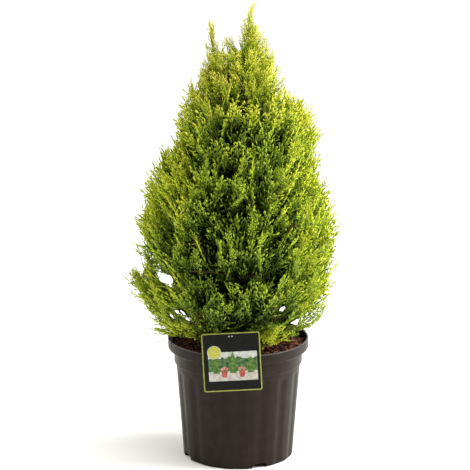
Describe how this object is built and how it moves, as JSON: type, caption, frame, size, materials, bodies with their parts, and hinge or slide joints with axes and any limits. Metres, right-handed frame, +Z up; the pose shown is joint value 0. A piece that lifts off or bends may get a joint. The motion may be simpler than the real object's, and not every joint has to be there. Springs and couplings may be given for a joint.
{
  "type": "potted golden arborvitae",
  "caption": "Young cone-shaped evergreen shrub with golden upright sprays, in a fluted nursery pot with a hanging label card.",
  "frame": {"origin": "centre of the pot's flat underside", "axes": "+Z up along the pot's axis and the trunk, -Y towards the side where the label hangs, +X to the right seen from that side"},
  "size_m": [0.3287, 0.3223, 0.7498],
  "materials": {
    "pot_plastic": "satin",
    "bark_mulch": "matte",
    "label_card": "satin",
    "bark": "matte",
    "foliage": "matte"
  },
  "bodies": {
    "root": {"pot": "pot_plastic", "soil": "bark_mulch", "label": "label_card", "trunk": "bark", "bough_lower_1": "bark", "bough_lower_2": "bark", "bough_lower_3": "bark", "bough_lower_4": "bark", "bough_lower_5": "bark", "bough_lower_6": "bark", "bough_middle_1": "bark", "bough_middle_2": "bark", "bough_middle_3": "bark", "bough_middle_4": "bark", "bough_middle_5": "bark", "bough_middle_6": "bark", "bough_skirt_1": "bark", "bough_skirt_2": "bark", "bough_skirt_3": "bark", "bough_skirt_4": "bark", "bough_skirt_5": "bark", "bough_skirt_6": "bark", "bough_top_1": "bark", "bough_top_2": "bark", "bough_top_3": "bark", "bough_top_4": "bark", "bough_upper_1": "bark", "bough_upper_2": "bark", "bough_upper_3": "bark", "bough_upper_4": "bark", "bough_upper_5": "bark", "foliage_leader": "foliage", "foliage_lower_1": "foliage", "foliage_lower_2": "foliage", "foliage_lower_3": "foliage", "foliage_lower_4": "foliage", "foliage_lower_5": "foliage", "foliage_lower_6": "foliage", "foliage_middle_1": "foliage", "foliage_middle_2": "foliage", "foliage_middle_3": "foliage", "foliage_middle_4": "foliage", "foliage_middle_5": "foliage", "foliage_middle_6": "foliage", "foliage_skirt_1": "foliage", "foliage_skirt_2": "foliage", "foliage_skirt_3": "foliage", "foliage_skirt_4": "foliage", "foliage_skirt_5": "foliage", "foliage_skirt_6": "foliage", "foliage_top_1": "foliage", "foliage_top_2": "foliage", "foliage_top_3": "foliage", "foliage_top_4": "foliage", "foliage_upper_1": "foliage", "foliage_upper_2": "foliage", "foliage_upper_3": "foliage", "foliage_upper_4": "foliage", "foliage_upper_5": "foliage"}
  },
  "joints": []
}
